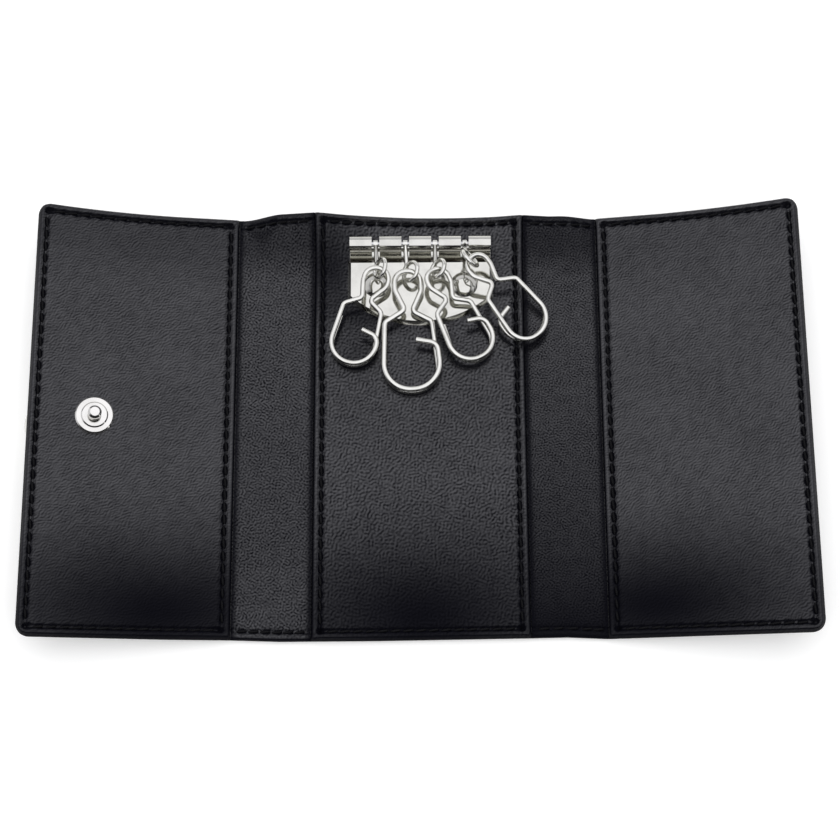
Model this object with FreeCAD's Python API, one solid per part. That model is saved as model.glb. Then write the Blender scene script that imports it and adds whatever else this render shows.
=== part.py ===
import FreeCAD, Part
import math
import os

V = FreeCAD.Vector

# Key case of black leather, lying open with its inside up: a back panel with a four-hook
# key plate, two soft spines and two flaps. X runs across the case, Y towards its top edge.
# The origin is the middle of the back panel's underside. Lengths are millimetres.

# Leather stack, from the table up
outer_leather = 1.0
board_thickness = 0.6
lining_cover = 1.0
spine_lining = 0.8

# Panels
case_height = 105.5
back_width = 52.0
left_spine_width = 18.1
right_spine_width = 17.4
left_flap_width = 49.0
right_flap_width = 49.4
corner_radius = 3.2
board_margin = 4.0
lining_setback = 0.3
left_flap_tilt = 11.0
right_flap_tilt = 12.5

# Seams
seam_inset = 2.1
stitch_pitch = 3.0
stitch_length = 2.3
stitch_width = 0.55
stitch_height = 0.3

# Key plate, rail and rivets
plate_center_x = 0.3
plate_width = 36.0
plate_height = 1.2
plate_sheet = 0.6
plate_rim = 1.0
plate_rim_wall = 1.5
plate_arc_drop = 7.1
plate_neck_length = 3.55
neck_slope_length = 2.25
neck_sheet = 0.3
plate_corner_below_axle = 13.7
axle_below_top = 7.5
knuckle_length = 5.4
knuckle_gap = 1.9
knuckle_count = 5
knuckle_radius = 1.9
rail_lift = 0.7
axle_radius = 0.5
axle_clearance = 0.02
rivet_spread = 21.4
rivet_below_axle = 10.4
rivet_head_radius = 3.3
rivet_head_height = 1.6
rivet_shank_radius = 1.1
rivet_back_radius = 2.6
rivet_back_thickness = 0.5
rivet_pocket_clearance = 0.4

# Swivels
swivel_wire_radius = 0.52
swivel_eye_clearance = 0.05
swivel_eye_wall = 0.36
swivel_length = 8.7
swivel_ring_radius = 2.4
swivel_lifts = (13.5, 7.5, 16.5, 48.5)
swivel_leans = (3.0, 3.0, 0.0, 0.5)
swivel_twists = (-33.0, -44.0, -42.0, 45.0)
swivel_ring_turns = (-34.0, -30.0, -22.0, 39.5)

# Key hooks of spring wire: hook 2 is the large one
small_wire_radius = 0.62
small_hook_length = 24.5
small_loop_width = 11.9
small_eye_width = 5.8
large_wire_radius = 0.68
large_hook_length = 29.8
large_loop_width = 14.4
large_eye_width = 6.4
hook_is_large = (False, True, False, False)
hook_yaws = (-15.0, 3.2, 25.7, 39.3)
hook_dips = (7.3, 4.4, 5.8, 12.5)
hook_rolls = (-3.0, -2.0, 5.0, 0.0)
hook_eye_shifts = (1.2, 0.2, -0.5, -0.8)
hook_flipped = (False, False, False, True)
link_angles = (4.0, 16.0, 22.0, -10.0)
wire_layer_gap = 0.12
wire_layer_inset = 0.5
plain_side_inset = 0.15
wire_layer_drop = 0.2
waist_gap = 0.35
waist_bend_radius = 1.1
shoulder_bend_radius = 1.5
leg_bend_radius = 2.6
tip_bend_radius = 2.4

# Hook outline as shares: heights of the hook's length, widths of half the loop's width
eye_turn_share = 0.165
waist_share = 0.335
shoulder_share = 0.43
shoulder_width_share = 0.82
tip_corner_shares = (0.69, 0.63, 0.655, 0.655)
tip_corner_width_share = 0.9
tip_end_shares = (0.65, 0.59, 0.615, 0.615)
tip_end_width_share = 0.2
plain_end_share = 0.55
plain_end_width_shares = (0.86, 0.86, 0.74, 0.82)
loop_round_share = 0.9
eye_round_share = 0.97

# Snap fastener and the plain oval ornament that caps it
stud_from_crease = 33.8
stud_flange_radius = 4.55
stud_flange_thickness = 0.8
stud_step_radius = 3.2
stud_step_height = 0.3
stud_post_radius = 1.6
stud_neck_radius = 1.35
stud_post_height = 2.4
stud_head_height = 1.1
stud_head_round = 0.5
stud_shank_radius = 1.4
ornament_length = 32.8
ornament_width = 19.0
ornament_rim = 0.7
ornament_crown = 1.3
ornament_turn = 12.0
ornament_boss_radius = 2.4
ornament_boss_clearance = 0.02
socket_radius = 5.2
socket_thickness = 1.9
socket_edge_radius = 0.5
socket_bore_clearance = 0.15
spring_wire_radius = 0.3
spring_groove_clearance = 0.05
eyelet_flange_radius = 4.0
eyelet_flange_thickness = 0.5
eyelet_wall = 0.4
eyelet_clearance = 0.02
snap_clearance = 0.15
cut_overrun = 1.0

# Heights and places worked out from the sizes above
panel_thickness = outer_leather + board_thickness + lining_cover
fold_height = outer_leather + spine_lining
half_height = case_height / 2
axle_y = half_height - axle_below_top
axle_z = panel_thickness + rail_lift + knuckle_radius - plate_sheet / 2
knuckle_pitch = knuckle_length + knuckle_gap
rail_length = knuckle_count * knuckle_length + (knuckle_count - 1) * knuckle_gap
swivel_count = knuckle_count - 1
plate_top = panel_thickness + plate_height
stud_bore_radius = stud_post_radius + socket_bore_clearance
snap_gap = stud_flange_thickness + stud_step_height + socket_thickness + snap_clearance

UP = V(0, 0, 1)
ALONG_X = V(1, 0, 0)
ALONG_Y = V(0, 1, 0)


def spine_width(side):
    """Width of the spine on the left (-1) or right (+1)."""
    return left_spine_width if side < 0 else right_spine_width


def flap_width(side):
    """Width of the flap on the left (-1) or right (+1)."""
    return left_flap_width if side < 0 else right_flap_width


def flap_tilt(side):
    """Angle, in degrees, at which the flap's free edge stands up in the open case."""
    return left_flap_tilt if side < 0 else right_flap_tilt


def back_crease(side):
    """Point of the fold line between the back and a spine, at mid height of the case."""
    return V(side * back_width / 2, 0, fold_height)


def flap_crease(side):
    """Point of the fold line between a spine and its flap, at mid height of the case."""
    return V(side * (back_width / 2 + spine_width(side)), 0, fold_height)


def closed_slope():
    """Angle of the closed flaps to the back: the two lie parallel with the snap between them."""
    rise = right_spine_width - left_spine_width + panel_thickness + snap_gap
    return math.degrees(math.atan2(rise, back_width))


def socket_from_crease():
    """Distance of the socket from the right flap's crease, so that it meets the stud when closed."""
    slope = math.radians(closed_slope())
    across = back_width * math.cos(slope)
    rise = (right_spine_width - left_spine_width) * math.sin(slope)
    return across + rise - stud_from_crease


def block(x0, x1, y0, y1, z0, z1):
    """Box between two values of each axis, given in either order."""
    corner = V(min(x0, x1), min(y0, y1), min(z0, z1))
    return Part.makeBox(abs(x1 - x0), abs(y1 - y0), abs(z1 - z0), corner)


def rounded_upright_edges(shape, radius, x_edge):
    """Round the two upright edges of a panel that lie on its free side."""
    picked = []
    for edge in shape.Edges:
        ends = [vertex.Point for vertex in edge.Vertexes]
        if len(ends) != 2:
            continue
        run = ends[1] - ends[0]
        if abs(run.z) > abs(run.x) + abs(run.y):
            if abs(ends[0].x - x_edge) < radius / 2:
                picked.append(edge)
    return shape.makeFillet(radius, picked)


def rest_flap(shape, side):
    """Tilt a flap piece, modelled flat, to where the flap stands in the open case."""
    return shape.rotated(flap_crease(side), ALONG_Y, -side * flap_tilt(side))


def stitch_run(start, end, z):
    """Stitches, as separate small bars, spread evenly over a straight seam."""
    along = end - start
    count = max(1, int(round(along.Length / stitch_pitch)))
    step = along.Length / count
    turn = math.degrees(math.atan2(along.y, along.x))
    bars = []
    for index in range(count):
        middle = start + V(along).normalize() * (step * (index + 1) - step / 2)
        bar = Part.makeBox(stitch_length, stitch_width, stitch_height)
        bar.translate(V(-stitch_length / 2, -stitch_width / 2, 0))
        bar = bar.rotated(V(0, 0, 0), UP, turn)
        bars.append(bar.translated(V(middle.x, middle.y, z)))
    return bars


def seam_loop(x0, x1, z):
    """Stitches round the four sides of a panel, clear of each other at the corners."""
    y1 = half_height - seam_inset
    gap = V(stitch_pitch / 2, stitch_pitch / 2, 0)
    bars = []
    for y in (-y1, y1):
        bars += stitch_run(V(x0 + gap.x, y, 0), V(x1 - gap.x, y, 0), z)
    for x in (x0, x1):
        bars += stitch_run(V(x, gap.y - y1, 0), V(x, y1 - gap.y, 0), z)
    return Part.makeCompound(bars)


def panel_pieces(x0, x1, z_holes, rounded_x=None):
    """Shell, board and lining of one panel, flat; z_holes cuts the upright holes through all."""
    shell = block(x0, x1, -half_height, half_height, 0, outer_leather)
    low, high = min(x0, x1), max(x0, x1)
    lining_low = low if rounded_x == low else low + lining_setback
    lining_high = high if rounded_x == high else high - lining_setback
    lining = block(lining_low, lining_high, -half_height, half_height, outer_leather, panel_thickness)
    if rounded_x is not None:
        shell = rounded_upright_edges(shell, corner_radius, rounded_x)
        lining = rounded_upright_edges(lining, corner_radius, rounded_x)
    y_board = half_height - board_margin
    board = block(low + board_margin, high - board_margin, -y_board, y_board,
                  outer_leather, outer_leather + board_thickness)
    lining = lining.cut(board)
    for hole in z_holes:
        shell = shell.cut(hole["shell"]) if "shell" in hole else shell
        board = board.cut(hole["board"]) if "board" in hole else board
        lining = lining.cut(hole["lining"]) if "lining" in hole else lining
    return shell, board, lining


def upright(x, y, radius, z0, z1):
    """Upright cylinder between two heights."""
    return Part.makeCylinder(radius, z1 - z0, V(x, y, z0))


def rivet_places():
    """Centres of the two plate rivets."""
    y = axle_y - rivet_below_axle
    return [V(plate_center_x + sign * rivet_spread / 2, y, 0) for sign in (-1, 1)]


def back_pieces():
    """Back panel: shell, board with pockets for the rivet backs, lining with the rivet holes."""
    holes = []
    for place in rivet_places():
        pocket = rivet_back_radius + rivet_pocket_clearance
        holes.append({
            "board": upright(place.x, place.y, pocket, 0, panel_thickness),
            "lining": upright(place.x, place.y, rivet_shank_radius, 0, panel_thickness + cut_overrun),
        })
    x1 = back_width / 2
    shell, board, lining = panel_pieces(-x1, x1, holes)
    x_seam = x1 - lining_setback - seam_inset
    return {
        "back_outer_leather": shell,
        "back_board": board,
        "back_lining": lining,
        "back_stitching": seam_loop(-x_seam, x_seam, panel_thickness),
    }


def spine_pieces(side):
    """Soft spine: shell and thin lining, sewn only along the top and bottom edges."""
    name = "left" if side < 0 else "right"
    x0, x1 = back_crease(side).x, flap_crease(side).x
    shell = block(x0, x1, -half_height, half_height, 0, outer_leather)
    lining = block(x0, x1, -half_height, half_height, outer_leather, fold_height)
    y = half_height - seam_inset
    inner, outer = sorted((x0, x1))
    bars = []
    for y_seam in (-y, y):
        start, end = V(inner + seam_inset / 2, y_seam, 0), V(outer - seam_inset / 2, y_seam, 0)
        bars += stitch_run(start, end, fold_height)
    return {
        name + "_spine_outer_leather": shell,
        name + "_spine_lining": lining,
        name + "_spine_stitching": Part.makeCompound(bars),
    }


def snap_x(side):
    """Place of the snap half on a flap, measured along the flat flap."""
    distance = stud_from_crease if side < 0 else socket_from_crease()
    return flap_crease(side).x + side * distance


def flap_pieces(side):
    """Flap: shell, board, lining and seam, at the flap's rest tilt."""
    name = "left" if side < 0 else "right"
    x0 = flap_crease(side).x
    x1 = x0 + side * flap_width(side)
    x = snap_x(side)
    if side < 0:
        boss = ornament_boss_radius + ornament_boss_clearance
        holes = [{
            "shell": upright(x, 0, boss, -cut_overrun, panel_thickness),
            "board": upright(x, 0, boss, -cut_overrun, panel_thickness),
            "lining": upright(x, 0, stud_shank_radius, 0, panel_thickness + cut_overrun),
        }]
    else:
        tube = stud_bore_radius + eyelet_wall + eyelet_clearance
        pocket_radius = eyelet_flange_radius + rivet_pocket_clearance
        pocket = upright(x, 0, pocket_radius, outer_leather, panel_thickness)
        holes = [{"shell": upright(x, 0, tube, -cut_overrun, panel_thickness), "board": pocket}]
    shell, board, lining = panel_pieces(x0, x1, holes, x1)
    seams = sorted((x0 + side * (lining_setback + seam_inset), x1 - side * seam_inset))
    pieces = {
        name + "_flap_outer_leather": shell,
        name + "_flap_board": board,
        name + "_flap_lining": lining,
        name + "_flap_stitching": seam_loop(seams[0], seams[1], panel_thickness),
    }
    return {key: rest_flap(shape, side) for key, shape in pieces.items()}


def revolved(points, x):
    """Solid of revolution about the upright line at x, from (radius, height) points."""
    outline = [V(x + radius, 0, height) for radius, height in points]
    face = Part.Face(Part.makePolygon(outline + outline[:1]))
    return face.revolve(V(x, 0, 0), UP, 360)


def snap_stud():
    """Male half of the snap: flange with a step, waisted post, and a shank through the lining."""
    x = snap_x(-1)
    z0 = panel_thickness
    z1 = z0 + stud_flange_thickness
    z2 = z1 + stud_step_height
    z3 = z2 + stud_post_height
    neck_top = z3 - stud_head_height
    return revolved([
        (0, outer_leather + board_thickness), (stud_shank_radius, outer_leather + board_thickness),
        (stud_shank_radius, z0), (stud_flange_radius, z0),
        (stud_flange_radius, z1 - stud_step_height), (stud_flange_radius - stud_step_height, z1),
        (stud_step_radius, z1), (stud_step_radius - stud_step_height, z2),
        (stud_post_radius, z2), (stud_neck_radius, neck_top - stud_head_round),
        (stud_post_radius, neck_top), (stud_post_radius, z3 - stud_head_round),
        (stud_post_radius - stud_head_round, z3), (0, z3),
    ], x)


def snap_ornament():
    """Plain oval cap on the outside of the left flap, with the boss that holds the stud's shank."""
    x = snap_x(-1)
    half_long, half_wide = ornament_length / 2, ornament_width / 2
    ellipse = Part.Ellipse(V(0, 0, 0), half_long, half_wide)
    rim = Part.Face(Part.Wire(ellipse.toShape())).extrude(V(0, 0, -ornament_rim))
    top = Part.Wire(Part.Ellipse(V(0, 0, -ornament_rim), half_long, half_wide).toShape())
    inner = Part.Ellipse(V(0, 0, -ornament_rim - ornament_crown), half_wide, half_wide / 2)
    crown = Part.makeLoft([top, Part.Wire(inner.toShape())], True, True)
    boss = upright(0, 0, ornament_boss_radius, -ornament_rim, outer_leather + board_thickness)
    cap = rim.fuse(crown).fuse(boss).removeSplitter()
    return cap.rotated(V(0, 0, 0), UP, ornament_turn).translated(V(x, 0, 0))


def snap_socket():
    """Female half of the snap on the outside of the right flap, with the groove for its spring."""
    x = snap_x(1)
    disc = upright(x, 0, socket_radius, -socket_thickness, 0)
    top_limit = socket_edge_radius / 2 - socket_thickness
    lower = [edge for edge in disc.Edges if edge.BoundBox.ZMax < top_limit]
    disc = disc.makeFillet(socket_edge_radius, lower)
    bore = upright(x, 0, stud_bore_radius, -socket_thickness - cut_overrun, cut_overrun)
    depth = spring_wire_radius + spring_groove_clearance
    middle = -socket_thickness / 2
    groove = upright(x, 0, stud_bore_radius + 2 * depth, middle - depth, middle + depth)
    return disc.cut(bore).cut(groove)


def snap_spring():
    """Ring of spring wire in the socket's groove."""
    radius = stud_bore_radius + spring_wire_radius
    return Part.makeTorus(radius, spring_wire_radius, V(snap_x(1), 0, -socket_thickness / 2), UP)


def snap_eyelet():
    """Flanged tube that holds the socket, hidden between the right flap's shell and lining."""
    x = snap_x(1)
    tube_radius = stud_bore_radius + eyelet_wall
    flange = upright(x, 0, eyelet_flange_radius, outer_leather, outer_leather + eyelet_flange_thickness)
    tube = upright(x, 0, tube_radius, 0, outer_leather)
    bore = upright(x, 0, stud_bore_radius, -cut_overrun, panel_thickness)
    return flange.fuse(tube).cut(bore).removeSplitter()


def plate_outline(inset, z):
    """Face of the key plate's outline: straight top and sides, and a shallow arc at the bottom."""
    half = plate_width / 2 - inset
    top = axle_y - plate_neck_length - inset
    corner = axle_y - plate_corner_below_axle
    full_half = plate_width / 2
    arc_radius = (full_half ** 2 + plate_arc_drop ** 2) / (2 * plate_arc_drop)
    center_y = corner - plate_arc_drop + arc_radius
    radius = arc_radius - inset
    side_y = center_y - math.sqrt(radius ** 2 - half ** 2)
    a, b = V(plate_center_x - half, top, z), V(plate_center_x - half, side_y, z)
    c, d = V(plate_center_x + half, side_y, z), V(plate_center_x + half, top, z)
    low = V(plate_center_x, center_y - radius, z)
    edges = [Part.LineSegment(a, b), Part.Arc(b, low, c), Part.LineSegment(c, d), Part.LineSegment(d, a)]
    return Part.Wire([edge.toShape() for edge in edges])


def knuckle_start(index):
    """X at which a knuckle of the rail starts."""
    return plate_center_x - rail_length / 2 + index * knuckle_pitch


def plate_neck(start_x):
    """Neck along the rail: a slope down from the plate's face, and a flat strip under the knuckles."""
    face_end = axle_y - plate_neck_length - plate_rim
    slope_end = face_end + neck_slope_length
    strip_top = panel_thickness + neck_sheet
    profile = [(face_end, panel_thickness), (axle_y, panel_thickness), (axle_y, strip_top),
               (slope_end, strip_top), (face_end, plate_top)]
    corners = [V(start_x, y, z) for y, z in profile]
    outline = Part.makePolygon(corners + corners[:1])
    return Part.Face(outline).extrude(ALONG_X * rail_length)


def key_plate():
    """Pressed plate with a bevelled rim, a neck and five knuckles rolled round the axle."""
    rim_wire = plate_outline(0, panel_thickness)
    face_wire = plate_outline(plate_rim, plate_top)
    pan = Part.makeLoft([rim_wire, face_wire], True, True)
    pocket_face = Part.Face(plate_outline(plate_rim_wall, panel_thickness))
    pocket = pocket_face.extrude(V(0, 0, plate_height - plate_sheet))
    pan = pan.cut(pocket)
    half_rail = rail_length / 2
    plate = pan.fuse(plate_neck(plate_center_x - half_rail))
    for index in range(knuckle_count):
        start = V(knuckle_start(index), axle_y, axle_z)
        plate = plate.fuse(Part.makeCylinder(knuckle_radius, knuckle_length, start, ALONG_X))
        web = block(start.x, start.x + knuckle_length,
                    axle_y - knuckle_radius / 2, axle_y + knuckle_radius / 2,
                    panel_thickness, axle_z)
        plate = plate.fuse(web)
    bore_start = V(plate_center_x - half_rail - cut_overrun, axle_y, axle_z)
    bore_length = rail_length + 2 * cut_overrun
    bore = Part.makeCylinder(axle_radius + axle_clearance, bore_length, bore_start, ALONG_X)
    plate = plate.cut(bore)
    for place in rivet_places():
        plate = plate.cut(upright(place.x, place.y, rivet_shank_radius, 0, plate_top + cut_overrun))
    return plate.removeSplitter()


def axle_rod():
    """Rod through the knuckles that the four swivels turn on."""
    start = V(plate_center_x - rail_length / 2, axle_y, axle_z)
    return Part.makeCylinder(axle_radius, rail_length, start, ALONG_X)


def domed_rivet(place):
    """Rivet with a domed head on the plate and a shank down to its back plate."""
    sphere_radius = (rivet_head_radius ** 2 + rivet_head_height ** 2) / (2 * rivet_head_height)
    center = V(place.x, place.y, plate_top + rivet_head_height - sphere_radius)
    dome = Part.makeSphere(sphere_radius, center)
    head_top = plate_top + rivet_head_height
    dome = dome.common(upright(place.x, place.y, 2 * sphere_radius, plate_top, head_top))
    shank = upright(place.x, place.y, rivet_shank_radius, outer_leather + rivet_back_thickness, plate_top)
    return dome.fuse(shank)


def plate_rivets():
    """The two rivets of the key plate."""
    return Part.makeCompound([domed_rivet(place) for place in rivet_places()])


def rivet_backs():
    """Flat back plates that the rivets are clenched on, between the outer leather and the lining."""
    top = outer_leather + rivet_back_thickness
    return Part.makeCompound(
        [upright(place.x, place.y, rivet_back_radius, outer_leather, top) for place in rivet_places()])


def swivel_x(index):
    """X of a swivel: the middle of a gap between two knuckles."""
    return knuckle_start(index) + knuckle_length + knuckle_gap / 2


def swivel_direction(index):
    """Direction of a swivel's shank, from the axle to its ring."""
    lift, lean = math.radians(swivel_lifts[index]), math.radians(swivel_leans[index])
    return V(math.sin(lean), -math.cos(lean) * math.cos(lift), math.cos(lean) * math.sin(lift))


def link_point(index):
    """Middle of a swivel's ring, where the hook's wire passes through it: aside of the shank by its turn."""
    shank_direction = swivel_direction(index)
    sideways = ring_normal(index).cross(shank_direction)
    turn = math.radians(swivel_ring_turns[index])
    shank_end = V(swivel_x(index), axle_y, axle_z) + shank_direction * (swivel_length - swivel_ring_radius)
    return shank_end + (shank_direction * math.cos(turn) + sideways * math.sin(turn)) * swivel_ring_radius


def ring_normal(index):
    """Axis of a swivel's ring: square to its shank, twisted about it."""
    shank_direction = swivel_direction(index)
    flat_normal = shank_direction.cross(ALONG_X).normalize()
    side_normal = flat_normal.cross(shank_direction)
    twist = math.radians(swivel_twists[index])
    return side_normal * math.cos(twist) + flat_normal * math.sin(twist)


def swivel(index):
    """Swivel: an eye round the axle, a shank and a ring for the hook."""
    center = V(swivel_x(index), axle_y, axle_z)
    shank_direction = swivel_direction(index)
    bore = axle_radius + swivel_eye_clearance
    wall_radius = bore + swivel_eye_wall
    eye_start = center - ALONG_X * swivel_wire_radius
    eye = Part.makeCylinder(wall_radius, 2 * swivel_wire_radius, eye_start, ALONG_X)
    shank_start = center + shank_direction * (bore + swivel_eye_wall / 2)
    shank_length = swivel_length - swivel_ring_radius - bore - swivel_eye_wall / 2
    shank = Part.makeCylinder(swivel_wire_radius, shank_length, shank_start, shank_direction)
    ring = Part.makeTorus(swivel_ring_radius, swivel_wire_radius, link_point(index), ring_normal(index))
    hole_start = eye_start - ALONG_X * swivel_wire_radius
    hole = Part.makeCylinder(bore, 4 * swivel_wire_radius, hole_start, ALONG_X)
    return eye.fuse(shank).fuse(ring).cut(hole)


def hook_sizes(index):
    """Wire radius, length, loop width and eye width of one hook."""
    if hook_is_large[index]:
        return large_wire_radius, large_hook_length, large_loop_width, large_eye_width
    return small_wire_radius, small_hook_length, small_loop_width, small_eye_width


def hook_frame(index):
    """Axes of a hook: across it, along it from eye to loop, and out of its flat side."""
    yaw, dip = math.radians(hook_yaws[index]), math.radians(hook_dips[index])
    roll = math.radians(hook_rolls[index] + (180 if hook_flipped[index] else 0))
    along = V(math.sin(yaw) * math.cos(dip), -math.cos(yaw) * math.cos(dip), -math.sin(dip))
    flat_across = V(math.cos(yaw), math.sin(yaw), 0)
    flat_out = along.cross(flat_across)
    across = flat_across * math.cos(roll) - flat_out * math.sin(roll)
    out = flat_out * math.cos(roll) + flat_across * math.sin(roll)
    return across, along, out


def seen_side(index):
    """Sign that turns a sideways value, as seen from above, into the hook's own axes."""
    return -1 if hook_flipped[index] else 1


def eye_link_direction(index):
    """Direction from the link to the middle of the hook's eye."""
    across, along, out = hook_frame(index)
    turn = math.radians(link_angles[index])
    return along * math.cos(turn) - across * (seen_side(index) * math.sin(turn))


def eye_tangent(index):
    """Direction of the hook's wire where it passes through the swivel: its lifting axis."""
    across, along, out = hook_frame(index)
    return eye_link_direction(index).cross(out).normalize()


def hook_outline(index):
    """Corners of a hook's wire as (across, along, out, bend radius), from its tip to its plain end."""
    wire, length, loop_width, eye_width = hook_sizes(index)
    half, eye = loop_width / 2, eye_width / 2
    inner, inner_length = half - wire_layer_inset, length + wire_layer_drop
    plain_side = half - plain_side_inset
    layer = wire + wire_layer_gap / 2
    waist = wire + waist_gap / 2
    shoulder = half * shoulder_width_share
    inner_shoulder = inner * shoulder_width_share
    shift = seen_side(index) * hook_eye_shifts[index]
    left, right, eye_top = shift - eye, shift + eye, -eye
    turn, waist_y = length * eye_turn_share - eye, length * waist_share - eye
    shoulder_y = length * shoulder_share - eye
    return [
        (half * tip_end_width_share, length * tip_end_shares[index] - eye, layer, 0),
        (half * tip_corner_width_share, length * tip_corner_shares[index] - eye, layer, tip_bend_radius),
        (half, length - eye, layer, half * loop_round_share),
        (-half, length - eye, layer, half * loop_round_share),
        (-shoulder, shoulder_y, layer, shoulder_bend_radius),
        (-waist, waist_y, layer, waist_bend_radius),
        (left, turn, layer, leg_bend_radius),
        (left, eye_top, layer / 2, eye * eye_round_share),
        (right, eye_top, -layer / 2, eye * eye_round_share),
        (right, turn, -layer, leg_bend_radius),
        (waist, waist_y, -layer, waist_bend_radius),
        (inner_shoulder, shoulder_y, -layer, shoulder_bend_radius),
        (inner, inner_length - eye, -layer, inner * loop_round_share),
        (-plain_side, inner_length - eye, -layer, plain_side * loop_round_share),
        (-plain_side * plain_end_width_shares[index], length * plain_end_share - eye, -layer, 0),
    ]


def rounded_path(points, radii):
    """Wire of straight runs joined by tangent arcs; the ends have no radius."""
    edges = []
    start = points[0]
    for before, corner, after, radius in zip(points, points[1:], points[2:], radii[1:-1]):
        back, ahead = (before - corner).normalize(), (after - corner).normalize()
        half_angle = back.getAngle(ahead) / 2
        reach = radius / math.tan(half_angle)
        middle = (back + ahead).normalize()
        arc_middle = corner + middle * (radius / math.sin(half_angle) - radius)
        first, last = corner + back * reach, corner + ahead * reach
        edges.append(Part.LineSegment(start, first).toShape())
        edges.append(Part.Arc(first, arc_middle, last).toShape())
        start = last
    edges.append(Part.LineSegment(start, points[-1]).toShape())
    return Part.Wire(edges)


def hook_path(index):
    """Centre line of a hook's wire, in place."""
    across, along, out = hook_frame(index)
    eye = hook_sizes(index)[3] / 2
    shift = seen_side(index) * hook_eye_shifts[index]
    center = link_point(index) + eye_link_direction(index) * eye - across * shift
    outline = hook_outline(index)
    points = [center + across * u + along * v + out * w for u, v, w, radius in outline]
    return rounded_path(points, [corner[3] for corner in outline])


def key_hook(index):
    """One hook of round spring wire, bent twice round its loop."""
    path = hook_path(index)
    first = path.Edges[0]
    start = first.valueAt(first.FirstParameter)
    heading = first.tangentAt(first.FirstParameter)
    section = Part.Wire(Part.Circle(start, heading, hook_sizes(index)[0]).toShape())
    return path.makePipeShell([section], True, False)


def all_pieces():
    """Every piece of the case, by node name."""
    pieces = {}
    pieces.update(back_pieces())
    pieces["key_plate"] = key_plate()
    pieces["axle_rod"] = axle_rod()
    pieces["plate_rivets"] = plate_rivets()
    pieces["rivet_backs"] = rivet_backs()
    for side in (-1, 1):
        pieces.update(spine_pieces(side))
        pieces.update(flap_pieces(side))
    pieces["snap_stud"] = rest_flap(snap_stud(), -1)
    pieces["snap_ornament"] = rest_flap(snap_ornament(), -1)
    pieces["snap_socket"] = rest_flap(snap_socket(), 1)
    pieces["snap_spring"] = rest_flap(snap_spring(), 1)
    pieces["snap_eyelet"] = rest_flap(snap_eyelet(), 1)
    for index in range(swivel_count):
        pieces["swivel_%d" % (index + 1)] = swivel(index)
        pieces["key_hook_%d" % (index + 1)] = key_hook(index)
    return pieces


def main():
    os.makedirs("parts", exist_ok=True)
    for name, shape in all_pieces().items():
        if not shape.isValid():
            raise ValueError("invalid shape: " + name)
        shape.exportStep("parts/" + name + ".step")
    for index in range(swivel_count):
        wire_area = math.pi * hook_sizes(index)[0] ** 2
        share = key_hook(index).Volume / (wire_area * hook_path(index).Length)
        print("key_hook_%d: volume over section times length %.4f" % (index + 1, share))


if __name__ == "__main__":
    main()
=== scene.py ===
import math

import bpy
import numpy as np
from mathutils import Matrix, Vector


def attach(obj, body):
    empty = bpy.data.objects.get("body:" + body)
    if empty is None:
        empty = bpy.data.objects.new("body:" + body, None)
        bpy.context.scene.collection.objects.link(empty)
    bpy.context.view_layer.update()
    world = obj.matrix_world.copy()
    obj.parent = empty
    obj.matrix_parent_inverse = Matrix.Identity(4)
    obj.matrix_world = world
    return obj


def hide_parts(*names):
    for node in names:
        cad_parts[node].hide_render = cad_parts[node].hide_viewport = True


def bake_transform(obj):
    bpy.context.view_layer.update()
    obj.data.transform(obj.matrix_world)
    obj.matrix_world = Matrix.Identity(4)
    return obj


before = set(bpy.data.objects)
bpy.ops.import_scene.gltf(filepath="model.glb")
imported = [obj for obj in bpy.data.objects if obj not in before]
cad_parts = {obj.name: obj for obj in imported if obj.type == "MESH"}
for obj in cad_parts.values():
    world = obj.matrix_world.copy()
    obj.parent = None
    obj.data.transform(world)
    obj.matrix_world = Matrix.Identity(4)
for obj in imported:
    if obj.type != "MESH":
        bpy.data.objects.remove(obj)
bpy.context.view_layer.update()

# Looks of an open leather key case: soft leather panels, sewn seams, polished hardware.
# Lengths below are millimetres unless a comment says otherwise; meshes are written in metres.
MM = 0.001

# Panel sizes of the solids
case_half_height = 52.75
back_half_width = 26.0
spine_widths = {"left": 18.1, "right": 17.4}
flap_widths = {"left": 49.0, "right": 49.4}
flap_tilts_deg = {"left": 11.0, "right": 12.5}
sides = {"left": -1.0, "right": 1.0}
outer_top = 1.0
fold_top = 1.8
panel_top = 2.6
lining_setback = 0.3
corner_radius = 3.2

# Leather edges, and the grid of a piece: fine near its edges, coarse inside
turned_edge_radius = 0.75
rolled_edge_radius = 1.15
outer_edge_radius = 0.55
cut_edge_lean = 0.004
edge_steps = 7
sharp_fold_deg = 50.0
fine_zone = 3.8
fine_step = 0.28
coarse_step = 0.75

# Sewn edges: a raised rim, a groove that deepens with each stitch, and puckers inside the groove
seam_inset = 2.1
seam_end_share = 0.45
seam_ease_share = 0.6
rim_bulge = 0.22
groove_depth = 0.8
groove_width = 0.6
groove_beat = 0.2
pucker_height = 0.2
pucker_inset = 0.75
pucker_width = 0.5
spine_seam_share = 0.8
under_groove = 0.12

# Stitches: rings of a few corners, sunk by a share of the groove
stitch_pitch = 3.0
stitch_length = 2.5
stitch_radius = 0.3
stitch_slant_deg = 7.0
stitch_bow = 0.1
stitch_sink = 0.55
stitch_rings = 7
stitch_corners = 6
stitch_tip = 0.0025
spine_seam_gap = 1.0

# Pillowed linings, and the slow waves of the flaps: two lengths and a phase in radians
pillow_height = 0.22
pillow_reach = 6.0
flap_wave_height = 0.12
flap_wave_lengths = (9.0, 13.0)
flap_wave_phase = 1.0

# Dents of the flaps: distance from the crease and Y, squeeze in Y, width and height
flap_dents = {"left": (26.0, -5.5, 1.4, 4.5, -0.22), "right": (9.0, -40.0, 0.7, 9.0, -0.18)}

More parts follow.
